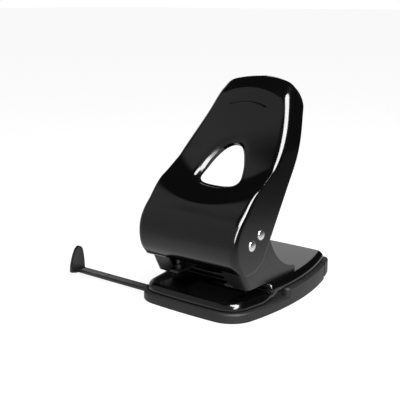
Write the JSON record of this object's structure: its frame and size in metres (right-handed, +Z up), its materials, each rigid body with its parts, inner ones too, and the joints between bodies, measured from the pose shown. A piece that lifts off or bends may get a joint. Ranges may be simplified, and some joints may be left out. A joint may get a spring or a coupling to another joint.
{
  "type": "two-hole punch",
  "caption": "Desk punch for filing holes: a pressed lever with a finger opening turns on a frame and drives sprung pins through a paper slot; tray below, sliding paper guide at the side.",
  "frame": {"origin": "middle of the underside, on the surface that the punch stands on, halfway between the pins", "axes": "+X to the right seen from in front, +Y to the back, away from the paper slot, +Z up"},
  "size_m": [0.2163, 0.1815, 0.2005],
  "materials": {
    "black_lacquer": "smooth gloss black lacquer",
    "steel": "bright plated steel",
    "dark_plastic": "matte dark plastic with a fine grain",
    "rubber": "plain dark rubber sheet"
  },
  "bodies": {
    "base": {"base_plate": "black_lacquer", "frame": "black_lacquer", "frame_rivets": "steel", "rear_block": "dark_plastic", "rear_block_screws": "steel", "tray_hinge_pin": "steel", "guide_bush_left": "steel", "guide_bush_right": "steel", "die_left": "steel", "die_right": "steel", "return_spring_left": "steel", "return_spring_right": "steel"},
    "lever": {"handle": "black_lacquer", "pivot_axle": "steel", "drive_axle": "steel"},
    "pin_left": {"punch_pin_left": "steel", "spring_washer_left": "steel"},
    "pin_right": {"punch_pin_right": "steel", "spring_washer_right": "steel"},
    "tray": {"chip_tray": "dark_plastic", "base_pad": "rubber", "guide_keeper": "dark_plastic", "keeper_screws": "steel"},
    "guide": {"paper_guide": "dark_plastic"}
  },
  "joints": [
    {"name": "lever_press", "type": "hinge", "parent": "base", "child": "lever", "pos_m": [0, -0.0571, 0.066], "axis": [-1, 0, 0], "range_deg": [0, 45], "stiffness_Nm_per_rad": 0.6, "springref_deg": -45.84},
    {"name": "pin_left_stroke", "type": "slide", "parent": "base", "child": "pin_left", "axis": [0, 0, -1], "range_m": [0, 0.0116], "deforming": ["return_spring_left"]},
    {"name": "pin_right_stroke", "type": "slide", "parent": "base", "child": "pin_right", "axis": [0, 0, -1], "range_m": [0, 0.0116], "deforming": ["return_spring_right"]},
    {"name": "tray_open", "type": "hinge", "parent": "base", "child": "tray", "pos_m": [0, 0.0786, 0.0035], "axis": [1, 0, 0], "range_deg": [0, 50]},
    {"name": "guide_slide", "type": "slide", "parent": "tray", "child": "guide", "axis": [1, 0, 0], "range_m": [0, 0.084]}
  ],
  "couplings": [
    {"joint": "pin_left_stroke", "follows": "lever_press", "m_per_rad": 0.014739},
    {"joint": "pin_right_stroke", "follows": "lever_press", "m_per_rad": 0.014739}
  ]
}
